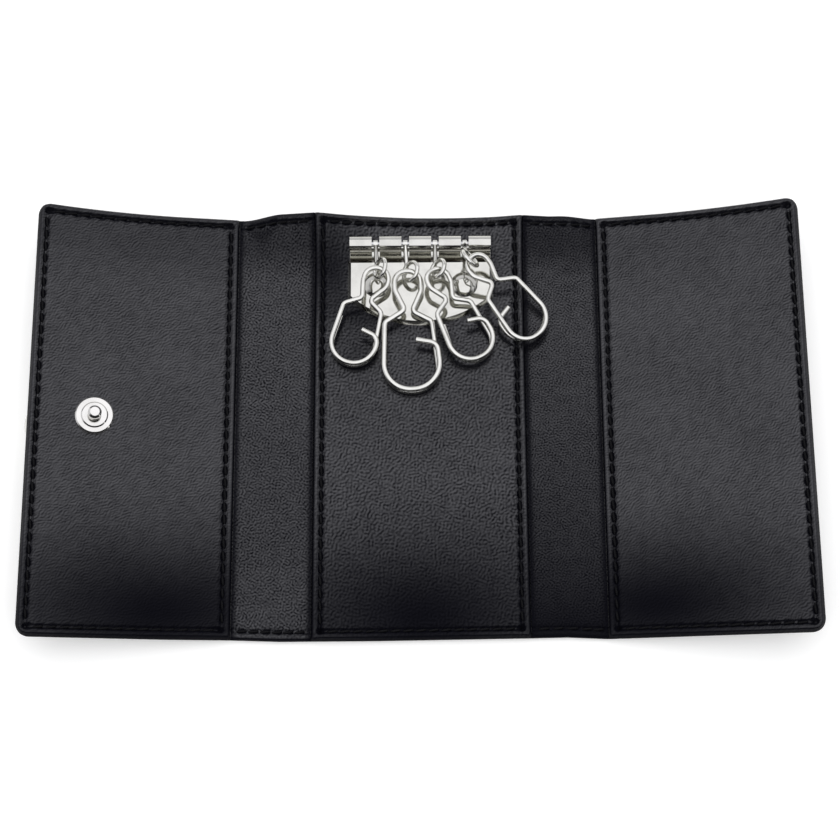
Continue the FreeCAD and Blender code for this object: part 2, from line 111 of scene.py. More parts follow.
# Line pressed into the left flap
pressed_y = -44.2
pressed_wander = 0.4
pressed_wave = 5.0
pressed_width = 0.35
pressed_depth = 0.07
pressed_ends = (6.0, 44.0)
pressed_ease = 6.0

# Seat of the snap's stud, and the hole behind the snap's socket
stud_from_crease = 33.8
stud_seat = 2.55
stud_seat_radius = 4.8
stud_seat_slope = 2.2
socket_from_crease = 17.89
stud_hole_depth = 0.65
stud_hole_rim = 3.2
stud_hole_slope = 1.0

# Fine wrinkles along the back's lower edge; rates are radians per millimetre, sways radians
wrinkle_y = -45.5
wrinkle_reach = 2.6
wrinkle_inset = 2.6
wrinkle_ease = 3.0
wrinkle_height = 0.045
wrinkle_rates = (3.6, 0.35)
sway_rates = (0.55, 0.5)
sways = (0.8, 1.3)

# Bow of the spines, and the tucks of the left one: share across and Y, with radians over each
spine_bow = 0.45
spine_bow_reach = 8.0
tuck_place = (0.12, 45.5)
tuck_reach = (0.22, 3.2)
tuck_rates = (3.0, 4.2)
tuck_height = 0.09

# Where the soft spine bends, measured from each fold line, and how far its layers pass the folds; only the
# flap's fold turns it, and the back's fold ranges are not used
back_fold_start = {"left": -0.5, "right": 4.0}
back_fold_reach = {"left": 5.0, "right": 14.0}
spine_split = {"left": 9.0, "right": 14.4}
flap_fold_reach = 3.0
fold_overlap = 3.0
lining_overlap = 0.25

# Curl of the top edge beside the spines: it starts lower on the outer part of the back
curl_heights = {"left": 4.4, "right": 2.7}
curl_powers = {"left": 1.4, "right": 2.4}
curl_ends = {"left": 43.5, "right": 45.0}
curl_fade = 10.5
curl_start = 45.0
curl_lowering = 7.0
curl_lower_from = 17.0
curl_lower_ease = 8.0
curl_beyond = 3.0

# Flare of the flaps towards their free edges
flare_tops = {"left": 1.45, "right": 1.15}
flare_bottoms = {"left": 0.4, "right": 0.6}
flare_sides = 0.45
flare_start_share = 0.4

# Stretch of the top and bottom edges, as pairs of X and length
top_reach = ((-94, 0.15), (-60, 0.15), (-46, 0.4), (-33, 0.4), (-26, 0.8), (0, 0.75), (26, 0.5),
             (32, 0.12), (45, 0.3), (60, 0.05), (94, 0.2))
bottom_reach = ((-94, 0.0), (-60, 0.0), (-44, -0.2), (-33, 0.2), (-10, 0.15), (10, -0.1), (26, -0.3),
                (34, -0.45), (44, 0.0), (94, 0.1))
reach_start = 38.0
reach_ease = 14.0

# Gloss of the flaps, lowered to paint shade: centre and reach of the oval of painted shade, and the loss at
# the top, also painted shade
least_gloss = 0.01
flap_shade_oval = {"left": ((17.0, -46.5), (75.0, 33.0)), "right": ((11.5, -45.5), (64.0, 30.0))}
flap_top_loss = {"left": 0.3, "right": 0.12}
flap_top_start = 30.0
flap_top_ease = 16.0

# Gloss of the back, lowered to paint shade: its oval of painted shade, then centre, reach and loss of each
# oval of painted shadow round the hardware
back_shade_oval = ((0.0, -47.5), (66.0, 34.0))
hardware_shadow_ovals = (((-22.0, 40.0), (14.0, 22.0), 0.85), ((-10.0, 28.0), (20.0, 8.5), 0.8),
                ((-15.0, 17.0), (9.0, 10.0), 0.45), ((17.0, 38.0), (3.5, 14.0), 0.75))

# Gloss that the spines lose in the folds, under the top edge and downwards: painted shade
crease_loss = 0.9
crease_reach = 0.8
spine_top_loss = {"left": 0.55, "right": 0.6}
spine_top_start = 36.0
spine_top_ease = 10.0
left_low_loss = 0.18
left_low_start = 5.0
left_low_ease = 10.0
right_spine_gloss = 0.86
right_low_loss = 0.95
right_low_start = 30.0
right_low_reach = 80.0
right_low_power = 1.8

# Leathers: pitch of the grain, share of waves that keep one direction, that direction in degrees,
# dullness of the hollows and strength of the bump; then what they share, with the reach of the worn rim,
# whose very edge gets painted shade
leather_grains = {
    "lining_leather": (0.72, 0.6, 123.0, 0.7, 0.3),
    "back_lining_leather": (0.9, 0.3, 125.0, 0.82, 0.35),
    "left_spine_leather": (0.76, 0.15, 105.0, 0.9, 0.55),
    "right_spine_leather": (0.68, 0.15, 105.0, 0.92, 0.65),
    "outer_leather": (0.85, 0.2, 110.0, 0.9, 0.4),
}
waves_per_cell = 1.5
black_dye = ((0.0022, 0.0022, 0.0036), (0.0042, 0.0042, 0.0068))
crest_edges = (0.25, 0.75)
rim_reach = 1.3

# Noises of the leather as scale per millimetre and detail, and the shares of each in height, tone and polish
pore_noise = (4.5, 2.0)
broad_noise = (0.06, 3.0)
patch_noise = (0.45, 1.0)
noise_mean = 0.5
rim_flatness = 0.5
pore_height = 0.12
crest_tone = 0.6
broad_tone = 0.4
rim_tone = 0.15
rim_polish = 0.6
broad_polish = 0.25
patch_polish = 0.35
# Coat lost at the very edge of the rim, with its power: painted shade on the edges
edge_shade = 0.92
edge_power = 4

# Roughness, the part of it that crests, strands or marks change, and other constants of the shaders;
# the distance of a bump is in metres
leather_rough, crest_smoothing = 0.66, 0.12
leather_specular = 0.02
coat_rough = 0.21
coat_ior = 1.62
grain_distance = 0.00012
thread_dye = ((0.0022, 0.0022, 0.0026), (0.006, 0.006, 0.007))
strand_wave = {"Scale": 1.1, "Distortion": 1.2, "Detail": 1.0}
fibre_noise = (9.0, 3.0)
strand_tone, fibre_tone = 0.6, 0.4
thread_rough, strand_smoothing = 0.72, 0.12
thread_specular = 0.1
fibre_height = 0.3
thread_bump = (0.6, 0.0001)
board_tones = ((0.07, 0.05, 0.035), (0.2, 0.16, 0.12))
fleck_noise = (2600.0, 4.0)
fleck_edges = (0.3, 0.7)
board_rough = 0.85
board_bump = (0.4, 0.0001)

# Metals: clean and soiled tone, and roughness
nickel_tones = ((0.57, 0.565, 0.52), (0.5, 0.495, 0.455))
metal_looks = {
    "polished_nickel": (*nickel_tones, 0.06),
    "bright_wire": ((0.65, 0.645, 0.6), (0.58, 0.575, 0.53), 0.06),
    "stud_nickel": ((0.68, 0.67, 0.635), (0.6, 0.59, 0.555), 0.08),
    "plate_nickel": (*nickel_tones, 0.06),
    "plain_steel": ((0.6, 0.6, 0.6), (0.42, 0.41, 0.4), 0.22),
}

# Marks of the metals, with noises per metre: smudges, hairline scratches and waviness
smudge_noise = (240.0, 4.0)
smudge_edges = (0.35, 0.75)
smudge_rough = 0.05
hair_rotation = (0.3, 0.5, 0.7)
hair_scale = (400.0, 6500.0, 900.0)
scratch_noise = (1.0, 2.0)
scratch_edges = (0.62, 0.78)
scratch_rough = 0.12
scratch_height = 0.15
ripple_noise = (420.0, 1.0)
metal_bump = (0.06, 0.00008)

# Band of Y on the key plate below the knuckles, darkened: painted shade in the neck's recess
neck_fold = (40.8, 42.2)
fold_ease = 0.15
plate_neck_shade = (0.16, 0.15, 0.13)

# Metal of each hard node, by the start of its name
hardware_metals = {
    "key_plate": "plate_nickel", "plate_rivets": "polished_nickel", "rivet_backs": "plain_steel",
    "axle_rod": "plain_steel", "swivel": "bright_wire", "key_hook": "bright_wire",
    "snap_stud": "stud_nickel", "snap_ornament": "polished_nickel", "snap_socket": "polished_nickel",
    "snap_spring": "plain_steel", "snap_eyelet": "plain_steel",
}

# Light of the studio, a cool white, from a softbox in metres and a dome; levels are radiance
daylight = (1.0, 1.0, 1.06)
softbox_place = (0.0, -0.05, 1.0)
softbox_target = (0.0, -0.05, 0.0)
softbox_size = (1.8, 2.2)
softbox_level = 0.85
dome_edges = (0.5, 0.72)
dome_level = 0.35
near_side_level = 0.03
far_side_gain = 0.85
far_side_edges = (-0.6, -0.1)

# White table, and the lift it has for camera, glossy and transmission rays; the lift rises to 1 over
# far distances in metres
table_half_size = 9000.0
table_top = -0.05
table_white = (0.95, 0.95, 0.9)
near_floor_lift = 0.26
far_floor = (0.3, 1.1)

# Camera of the photograph; the clip distances are metres
camera_eye = (0.02, -139.96, 448.30)
camera_tilt_deg = 17.49
camera_roll_deg = 0.328
camera_lens = 83.38
camera_sensor = 36.0
camera_clip = (0.01, 20.0)


class Field:
    """An output socket of a node tree; arithmetic on it adds Math nodes."""

    def __init__(self, tree, socket):
        self.tree = tree
        self.socket = socket

    def math(self, operation, *values):
        return add_node(self.tree, "ShaderNodeMath", {"operation": operation}, dict(enumerate(values)))

    def __add__(self, other):
        return self.math("ADD", self, other)

    def __sub__(self, other):
        return self.math("SUBTRACT", self, other)

    def __rsub__(self, other):
        return self.math("SUBTRACT", other, self)

    def __mul__(self, other):
        return self.math("MULTIPLY", self, other)

    def __pow__(self, other):
        return self.math("POWER", self, other)

    __radd__ = __add__
    __rmul__ = __mul__

    def clamp(self):
        """This value, kept between 0 and 1."""
        return self.math("MINIMUM", self.math("MAXIMUM", self, 0.0), 1.0)

    def step(self, low, high):
        """Smooth rise from 0 at low to 1 at high."""
        return add_node(self.tree, "ShaderNodeMapRange", {"interpolation_type": "SMOOTHSTEP"},
                        {"Value": self, "From Min": low, "From Max": high})

    def mix(self, dark, light):
        """Colour between two colours, by this value."""
        return add_node(self.tree, "ShaderNodeMix", {"data_type": "RGBA"},
                        {"Factor": self, 6: dark, 7: light}, 2)

    def beside(self, name):
        """Another output of the same node."""
        return Field(self.tree, self.socket.node.outputs[name])


def add_node(tree, kind, settings=None, inputs=None, output=0):
    """Add one node: settings first, then socket values or links; returns one of its outputs."""
    node = tree.nodes.new(kind)
    for name, value in (settings or {}).items():
        setattr(node, name, value)
    for key, value in (inputs or {}).items():
        socket = node.inputs[key]
        if isinstance(value, Field):
            tree.links.new(value.socket, socket)
        else:
            if socket.type == "RGBA" and len(value) == 3:
                value = (*value, 1.0)
            socket.default_value = value
    return Field(tree, node.outputs[output]) if node.outputs else None


def flat_place(tree):
    """Place on the piece's own flat map, in millimetres."""
    return add_node(tree, "ShaderNodeUVMap", {"uv_map": "flat"})


def object_place(tree):
    """Place on the object, in metres."""
    return add_node(tree, "ShaderNodeTexCoord", None, None, 3)


def noise(tree, place, scale, detail, dimensions="3D"):
    """Noise at a place."""
    return add_node(tree, "ShaderNodeTexNoise", {"noise_dimensions": dimensions},
                    {"Vector": place, "Scale": scale, "Detail": detail})


def new_tree(name):
    """New material and its node tree, without its first nodes."""
    material = bpy.data.materials.new(name)
    material.use_nodes = True
    material.node_tree.nodes.clear()
    return material, material.node_tree


def finish_tree(tree, shader, height, strength, distance):
    """Principled shader from its socket values, with a bump of the height."""
    bump = add_node(tree, "ShaderNodeBump", None,
                    {"Height": height, "Strength": strength, "Distance": distance})
    surface = add_node(tree, "ShaderNodeBsdfPrincipled", None, {**shader, "Normal": bump})
    add_node(tree, "ShaderNodeOutputMaterial", None, {"Surface": surface})


def leather(name, wave, lined, across_deg, depth, relief):
    """Finished leather on the piece's own flat map: a grain of fine waves, dull hollows and polished crests,
    with painted shade where its gloss attribute and its edges lower the coat.

    wave is the grain's pitch in millimetres, lined the share of waves that keep one direction, across_deg
    that direction, depth how dull the hollows are and relief the strength of the bump.
    """
    material, tree = new_tree(name)
    flat = flat_place(tree)
    rim, gloss = (add_node(tree, "ShaderNodeAttribute", {"attribute_name": title}, None, 2)
                  for title in ("rim", "gloss"))
    grain = add_node(tree, "ShaderNodeTexGabor", {"gabor_type": "2D"},
                     {"Vector": flat, "Scale": 1.0 / (wave * waves_per_cell), "Frequency": waves_per_cell,
                      "Anisotropy": lined, 4: math.radians(across_deg)})
    pores, broad, patches = (noise(tree, flat, *look, "2D")
                             for look in (pore_noise, broad_noise, patch_noise))
    crests = grain.step(*crest_edges)
    height = crests * (1 - rim * rim_flatness) + pores * pore_height
    tone = (crests * crest_tone + broad * broad_tone + rim * rim_tone).clamp()
    hollows = (1 - crests) * depth * (1 - rim * rim_polish)
    evenness = 1 - hollows + (broad - noise_mean) * broad_polish + (patches - noise_mean) * patch_polish
    # The gloss attribute and the loss at the edges lower the coat: painted shade, over the grain's own polish
    polish_and_shade = evenness * gloss * (1 - rim ** edge_power * edge_shade)
    roughness = leather_rough - crests * crest_smoothing
    finish_tree(tree, {"Base Color": tone.mix(*black_dye), "Roughness": roughness,
                       "Specular IOR Level": leather_specular, "Coat Weight": polish_and_shade.clamp(),
                       "Coat Roughness": coat_rough, "Coat IOR": coat_ior}, height, relief, grain_distance)
    return material


def thread_material():
    """Waxed black thread: slanted strands round the stitch, from its own map."""
    material, tree = new_tree("waxed_thread")
    flat = flat_place(tree)
    strands = add_node(tree, "ShaderNodeTexWave", {"bands_direction": "DIAGONAL"},
                       {"Vector": flat, **strand_wave})
    fibres = noise(tree, flat, *fibre_noise)
    tone = (strands * strand_tone + fibres * fibre_tone).clamp()
    roughness = thread_rough - strands * strand_smoothing
    finish_tree(tree, {"Base Color": tone.mix(*thread_dye), "Roughness": roughness,
                       "Specular IOR Level": thread_specular}, strands + fibres * fibre_height, *thread_bump)
    return material


def metal_material(name, clean, soiled, rough):
    """Polished metal with faint smudges, fine scratches and a slight waviness; the plate's neck gets painted
    shade.
    """
    material, tree = new_tree(name)
    place = object_place(tree)
    hair = add_node(tree, "ShaderNodeMapping", None,
                    {"Vector": place, "Rotation": hair_rotation, "Scale": hair_scale})
    mark = noise(tree, hair, *scratch_noise).step(*scratch_edges)
    tone = noise(tree, place, *smudge_noise).step(*smudge_edges)
    ripple = noise(tree, place, *ripple_noise)
    colour = tone.mix(clean, soiled)
    # Painted shade in the plate's neck below the knuckles
    if name == "plate_nickel":
        along = add_node(tree, "ShaderNodeSeparateXYZ", None, {0: place}, 1)
        low, high = (edge * MM for edge in neck_fold)
        ease = fold_ease * MM
        neck_shade = along.step(low - ease, low + ease) * (1 - along.step(high - ease, high + ease))
        colour = neck_shade.mix(colour, plate_neck_shade)
    roughness = rough + tone * smudge_rough + mark * scratch_rough
    finish_tree(tree, {"Base Color": colour, "Metallic": 1.0, "Roughness": roughness},
                ripple + mark * scratch_height, *metal_bump)
    return material


def board_material():
    """Bonded fibre board: short pale flecks on brown."""
    material, tree = new_tree("fibre_board")
    fleck = noise(tree, object_place(tree), *fleck_noise)
    finish_tree(tree, {"Base Color": fleck.step(*fleck_edges).mix(*board_tones), "Roughness": board_rough},
                fleck, *board_bump)
    return material


leathers = {name: leather(name, *grain) for name, grain in leather_grains.items()}
thread = thread_material()
metals = {name: metal_material(name, *look) for name, look in metal_looks.items()}
fibre_board = board_material()


def smooth(value):
    """Smooth rise from 0 to 1: t t (3 - 2 t)."""
    t = np.clip(value, 0.0, 1.0)
    return t * t * (3.0 - 2.0 * t)


def hump(distance, width):
    """Bell curve: exp(-(d / width)^2)."""
    return np.exp(-(distance / width) ** 2)


def make_piece(name, points, faces, material, flat, **finish):
    """Mesh object from points in millimetres, with a flat map and named values for its finish, some of them
    painted shade.
    """
    mesh = bpy.data.meshes.new(name)
    mesh.from_pydata((points * MM).tolist(), [], faces)
    loops = np.empty(len(mesh.loops), np.int32)
    mesh.loops.foreach_get("vertex_index", loops)
    layer = mesh.uv_layers.new(name="flat")
    layer.data.foreach_set("uv", flat[loops].astype(np.float32).ravel())
    for title, values in finish.items():
        attribute = mesh.attributes.new(title, "FLOAT", "POINT")
        attribute.data.foreach_set("value", values.astype(np.float32))
    mesh.polygons.foreach_set("use_smooth", np.ones(len(mesh.polygons), bool))
    mesh.set_sharp_from_angle(angle=math.radians(sharp_fold_deg))
    mesh.materials.append(material)
    mesh.update()
    piece = bpy.data.objects.new(name, mesh)
    bpy.context.scene.collection.objects.link(piece)
    return piece


def edge_profile(radius):
    """Distance in from an edge and rise there: r (1 - cos a) and sin a; a cut edge rises at once."""
    if radius == 0:
        return np.array([0.0, cut_edge_lean]), np.array([0.0, 1.0])
    angle = np.linspace(0.0, np.pi / 2, edge_steps)
    return radius * (1.0 - np.cos(angle)), np.sin(angle)


def even_lines(start, end, step, least):
    """Evenly spaced lines from start to end, about a step apart, with at least some spaces."""
    return np.linspace(start, end, max(least, int(round((end - start) / step))) + 1)


def lines_between(start, end, start_radius, end_radius):
    """Grid lines from start to end, fine near both edges, with the rise of the surface at each."""
    near, near_rise = edge_profile(start_radius)
    far, far_rise = edge_profile(end_radius)
    length = abs(end - start)
    zone = min(fine_zone, length / 3)
    inner = np.concatenate([even_lines(near[-1], zone, fine_step, 2)[1:],
                            even_lines(zone, length - zone, coarse_step, 3)[1:-1],
                            even_lines(length - zone, length - far[-1], fine_step, 2)[:-1]])
    distance = np.concatenate([near, inner, length - far[::-1]])
    rise = np.concatenate([near_rise, np.ones(len(inner)), far_rise[::-1]])
    return start + np.sign(end - start) * distance, rise


def rows(radius):
    """Grid lines from the bottom edge to the top edge of the case."""
    return lines_between(-case_half_height, case_half_height, radius, radius)


def seam_relief(inset, along, ends=np.inf):
    """Relief of a sewn edge, at a distance in from it and along it; it fades out near the seam's ends.

    With b = cos(2 pi along / pitch): bulge sin(pi i / inset) - depth (1 - beat + beat b) hump(i - inset)
    - pucker b hump(i - inset - pucker inset).
    """
    beat = np.cos(2 * np.pi * along / stitch_pitch)
    kept = smooth((ends - seam_end_share * seam_inset) / (seam_ease_share * seam_inset))
    rim = rim_bulge * np.sin(np.pi * np.clip(inset / seam_inset, 0, 1))
    groove = groove_depth * hump(inset - seam_inset, groove_width) * (1.0 - groove_beat + groove_beat * beat)
    pucker = pucker_height * beat * hump(inset - seam_inset - pucker_inset, pucker_width)
    return (rim - groove - pucker) * kept


def leaf(x_lines, y_lines, top):
    """Visible side of a leather piece: base plus rise in x times rise in y times (top - base)."""
    (x, x_rise), (y, y_rise) = x_lines, y_lines
    grid_x, grid_y = np.meshgrid(x, y)
    rise = np.outer(y_rise, x_rise)
    return grid_x, grid_y, outer_top + rise * (top(grid_x, grid_y) - outer_top)


def leaf_faces(row_count, column_count, faces_up):
    """Quads of the visible grid, and of a hidden grid that shares its outline."""
    def quads(index):
        return np.stack([index[:-1, :-1], index[:-1, 1:], index[1:, 1:], index[1:, :-1]], -1).reshape(-1, 4)

    visible = np.arange(row_count * column_count).reshape(row_count, column_count)
    hidden = visible.copy()
    inner = hidden[1:-1, 1:-1]
    inner[:] = visible.size + np.arange(inner.size).reshape(inner.shape)
    shown, closed = quads(visible), quads(hidden)
    if not faces_up:
        shown, closed = shown[:, ::-1], closed[:, ::-1]
    return np.concatenate([shown, closed[:, ::-1]]).tolist()


def round_outer_corners(x, y, x_edge, radius):
    """Draw the corner squares at x_edge into quarter discs: p sqrt(1 - q q / 2) of each coordinate."""
    inward = -np.sign(x_edge)
    p = 1.0 - np.clip((x - x_edge) * inward / radius, 0, 1)
    q = 1.0 - np.clip((case_half_height - np.abs(y)) / radius, 0, 1)
    new_x = x_edge + inward * radius * (1.0 - p * np.sqrt(1.0 - q * q / 2))
    new_y = np.sign(y) * (case_half_height - radius * (1.0 - q * np.sqrt(1.0 - p * p / 2)))
    inside = (p > 0) & (q > 0)
    return np.where(inside, new_x, x), np.where(inside, new_y, y)


def by_side(x, values):
    """The left or right one of two values, by the sign of x."""
    return np.where(x < 0, values["left"], values["right"])


def back_crease(side):
    """X of the fold between the back and a spine."""
    return sides[side] * back_half_width


def flap_crease(side):
    """X of the fold between a spine and its flap."""
    return sides[side] * (back_half_width + spine_widths[side])


def free_edge_of(side):
    """X of a flap's free edge, before the flap is turned."""
    return flap_crease(side) + sides[side] * flap_widths[side]


def from_crease(side, x):
    """Distance out from a flap's crease."""
    return (x - flap_crease(side)) * sides[side]


def flap_angle(side):
    """Angle about +Y that stands the flap's free edge up."""
    return -sides[side] * math.radians(flap_tilts_deg[side])


def flap_share(side, x):
    """Share of the flap's turn at x: 0 on the spine, 1 past the fold, smooth between."""
    start = flap_crease(side) - sides[side] * flap_fold_reach
    return smooth((x - start) / (sides[side] * 2 * flap_fold_reach))


def curl(x, y):
    """Lift of the top edge beside the spines: |x / half width|^p on the back, fading out over the spine."""
    inside = np.clip(np.abs(x) / back_half_width, 0, 1) ** by_side(x, curl_powers)
    outside = smooth((by_side(x, curl_ends) - np.abs(x)) / curl_fade)
    start = curl_start - curl_lowering * smooth((np.abs(x) - curl_lower_from) / curl_lower_ease)
    upward = smooth((y - start) / (case_half_height + curl_beyond - start))
    return by_side(x, curl_heights) * inside * outside * upward


def reach(x, y):
    """Y after the stretch of the top and bottom edges: small lengths along the case, eased in at its ends."""
    top = np.interp(x, *zip(*top_reach)) * smooth((y - reach_start) / reach_ease)
    bottom = np.interp(x, *zip(*bottom_reach)) * smooth((-y - reach_start) / reach_ease)
    return y + top - bottom


def flare(side, x, y):
    """Spread of a flap towards its free edge: a square law along its ends, a straight one across."""
    share = np.clip(from_crease(side, x) / flap_widths[side], 0, 1)
    spread = np.clip((share - flare_start_share) / (1.0 - flare_start_share), 0, 1) ** 2
    up, down = (np.clip(way * y / case_half_height, 0, 1) ** 2 for way in (1, -1))
    new_y = y + spread * flare_tops[side] * up - share * flare_bottoms[side] * down
    return x + sides[side] * flare_sides * share, new_y


def turn_about(points, crease_x, angle):
    """Turn points about the fold line at crease_x and fold_top, each by its own angle about +Y."""
    dx, dz = points[:, 0] - crease_x, points[:, 2] - fold_top
    turned = points.copy()
    turned[:, 0] = crease_x + dx * np.cos(angle) + dz * np.sin(angle)
    turned[:, 2] = fold_top - dx * np.sin(angle) + dz * np.cos(angle)
    return turned


def panel_height(x, y, x0, x1):
    """Lining surface of a stiff panel between x0 and x1: pillowed leather with sewn edges on four sides."""
    along_x = np.minimum(x - min(x0, x1), max(x0, x1) - x)
    along_y = np.minimum(case_half_height - y, case_half_height + y)
    z = panel_top + seam_relief(along_x, y, along_y) + seam_relief(along_y, x, along_x)
    return z + pillow_height * smooth((np.minimum(along_x, along_y) - seam_inset) / pillow_reach)


def flap_height(side):
    """Lining surface of a flap, with its dent and slow waves; the left one is pressed flat under the stud."""
    x0 = flap_crease(side) + sides[side] * lining_setback
    dent_out, dent_y, dent_squeeze, dent_width, dent_height = flap_dents[side]

    def pressed_line(out, y):
        away = y - pressed_y + pressed_wander * np.sin(out / pressed_wave)
        line = pressed_depth * hump(away, pressed_width)
        start, end = pressed_ends
        return line * smooth((out - start) / pressed_ease) * smooth((end - out) / pressed_ease)

    def height(x, y):
        z = panel_height(x, y, x0, free_edge_of(side))
        out = from_crease(side, x)
        z = z + dent_height * hump(np.hypot(out - dent_out, (y - dent_y) * dent_squeeze), dent_width)
        if side == "left":
            z = z - pressed_line(out, y)
        wave = np.sin(out / flap_wave_lengths[0] + flap_wave_phase) * np.sin(y / flap_wave_lengths[1])
        z = z + flap_wave_height * wave
        if side == "left":
            away = np.hypot(out - stud_from_crease, y)
            z = stud_seat + (z - stud_seat) * smooth((away - stud_seat_radius) / stud_seat_slope)
        return z
    return height


def back_height(x, y):
    """Lining surface of the back panel, with fine wrinkles along its lower edge.

    The wrinkles are sin(a y + s sin(b x)) sin(c x + t sin(d y)) in a band of Y.
    """
    edge = back_half_width - lining_setback
    ripple = (np.sin(y * wrinkle_rates[0] + sways[0] * np.sin(x * sway_rates[0]))
              * np.sin(x * wrinkle_rates[1] + sways[1] * np.sin(y * sway_rates[1])))
    band = hump(y - wrinkle_y, wrinkle_reach) * smooth((edge - wrinkle_inset - np.abs(x)) / wrinkle_ease)
    return panel_height(x, y, -edge, edge) + wrinkle_height * ripple * band


def spine_height(side):
    """Lining of a soft spine: a low bow between the folds, sewn along the top and bottom edges."""
    def height(x, y):
        across = np.clip((x - back_crease(side)) / (flap_crease(side) - back_crease(side)), 0, 1)
        ends = case_half_height - np.abs(y)
        z = fold_top + seam_relief(ends, x) * spine_seam_share
        z = z + spine_bow * np.sin(np.pi * across) * smooth((ends - seam_inset) / spine_bow_reach)
        if side == "left":
            tuck = hump(across - tuck_place[0], tuck_reach[0]) * hump(y - tuck_place[1], tuck_reach[1])
            z = z + tuck_height * np.sin(y * tuck_rates[1] + across * tuck_rates[0]) * tuck
        return z
    return height


def under_height(x, y):
    """Outside of the case: flat on the table, with a shallow line where the seam is sewn through."""
    return under_groove * hump(case_half_height - np.abs(y) - seam_inset, groove_width)


def under_flap(side):
    """Outside of a flap; the right one is sunk behind the snap's socket, where the stud's tip enters."""
    def height(x, y):
        z = under_height(x, y)
        if side == "right":
            away = np.hypot(from_crease(side, x) - socket_from_crease, y)
            z = z + stud_hole_depth * smooth((stud_hole_rim - away) / stud_hole_slope)
        return z
    return height


def worn_and_shaded_rim(x, y, x_edges):
    """Nearness to the top, the bottom and the named edges in X: 1 at an edge, falling as a hump; it marks the
    worn rim, whose very edge gets painted shade.
    """
    near = case_half_height - np.abs(y)
    for edge in x_edges:
        near = np.minimum(near, np.abs(x - edge))
    return hump(near, rim_reach)


def full_gloss(x, y):
    """Full gloss, with no painted shade."""
    return np.ones_like(x)


def shade_oval_gloss(x, y, centre, oval):
    """Gloss round a patch of painted shade: 0 at its centre, rising by the smooth step to 1 at an oval's
    edge.
    """
    return smooth(np.hypot((x - centre[0]) / oval[0], (y - centre[1]) / oval[1]))


def flap_gloss(side):
    """Gloss of a flap, lowered low down beside the fold and a little at the top: painted shade."""
    def gloss(x, y):
        oval_gloss = shade_oval_gloss(from_crease(side, x), y, *flap_shade_oval[side])
        top = 1.0 - flap_top_loss[side] * smooth((y - flap_top_start) / flap_top_ease)
        return least_gloss + (1.0 - least_gloss) * oval_gloss * top
    return gloss


def back_gloss(x, y):
    """Gloss of the back, lowered low down and, by named losses, in ovals round the hardware: painted shade
    and painted shadow.
    """
    value = shade_oval_gloss(x, y, *back_shade_oval)
    for centre, oval, loss in hardware_shadow_ovals:
        value = value * (1.0 - loss * (1.0 - shade_oval_gloss(x, y, centre, oval)))
    return least_gloss + (1.0 - least_gloss) * value


def spine_gloss(side):
    """Gloss of a spine, lowered in the folds, under the top edge and, most of all on the right, downwards:
    painted shade.
    """
    def gloss(x, y):
        inside = np.minimum(np.abs(x) - back_half_width, back_half_width + spine_widths[side] - np.abs(x))
        value = 1.0 - crease_loss * hump(inside, crease_reach)
        value = value * (1.0 - spine_top_loss[side] * smooth((y - spine_top_start) / spine_top_ease))
        if side == "left":
            return value * (1.0 - left_low_loss * smooth((left_low_start - y) / left_low_ease))
        lower = np.clip((right_low_start - y) / right_low_reach, 0, 1) ** right_low_power
        return value * right_spine_gloss * (1.0 - right_low_loss * lower)
    return gloss


def leather_piece(name, material, x_lines, y_lines, top, faces_up, edges=(), gloss=full_gloss,
                  side=None, turn_share=np.ones_like, free_edge=None, curled=False):
    """One leather piece from its grid lines and height, curled, flared and turned into place.

    edges are the X of its worn edges, whose very edge gets painted shade; side is the flap it turns with, by
    turn_share of x;
    free_edge is the X of its rounded corners. Its hidden side lies at the top of the outer leather.
    """
    x, y, z = leaf(x_lines, y_lines, top)
    flat = np.stack([x, y], -1)
    rim = worn_and_shaded_rim(x, y, edges)
    base = np.full_like(z, outer_top)
    if free_edge is not None:
        x, y = round_outer_corners(x, y, free_edge, corner_radius)
        x, y = flare(side, x, y)
    y = reach(x, y)
    if curled:
        lift = curl(x, y)
        z, base = z + lift, base + lift

    def both_sides(visible, hidden):
        width = visible.shape[-1]
        return np.concatenate([visible.reshape(-1, width), hidden[1:-1, 1:-1].reshape(-1, width)])

    points = both_sides(np.stack([x, y, z], -1), np.stack([x, y, base], -1))
    flat = both_sides(flat, flat)
    rim = both_sides(rim[..., None], rim[..., None])[:, 0]
    if side:
        points = turn_about(points, flap_crease(side), flap_angle(side) * turn_share(flat[:, 0]))
    points[:, 2] = np.maximum(points[:, 2], 0.0)
    return make_piece(name, points, leaf_faces(*x.shape, faces_up), material, flat,
                      rim=rim, gloss=gloss(flat[:, 0], flat[:, 1]))


def bend(piece, side, half):
    """Bake a piece of a soft spine into place; the range over which its inner half would bend over the back's
    fold, or its outer half over the flap's, is worked out but not used.
    """
    sign, near, far = sides[side], back_crease(side), flap_crease(side)
    if half == "inner":
        start, end = near + sign * back_fold_start[side], near + sign * back_fold_reach[side]
    else:
        start, end = far - sign * flap_fold_reach, far + sign * flap_fold_reach
    start * MM
    end * MM
    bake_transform(piece)


def build_back():
    """Back panel: lining and outer leather, riding on the back."""
    edge = back_half_width - lining_setback
    lining = leather_piece(
        "back_lining_leather", leathers["back_lining_leather"],
        lines_between(-edge, edge, turned_edge_radius, turned_edge_radius), rows(rolled_edge_radius),
        back_height, True, edges=(-edge, edge), gloss=back_gloss, curled=True)
    span = back_half_width - fold_overlap
    outer = leather_piece(
        "back_outer_shell", leathers["outer_leather"], lines_between(-span, span, 0, 0),
        rows(outer_edge_radius), under_height, False, curled=True)
    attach(lining, "back")
    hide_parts("back_lining", "back_board")
    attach(outer, "back")
    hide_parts("back_outer_leather")


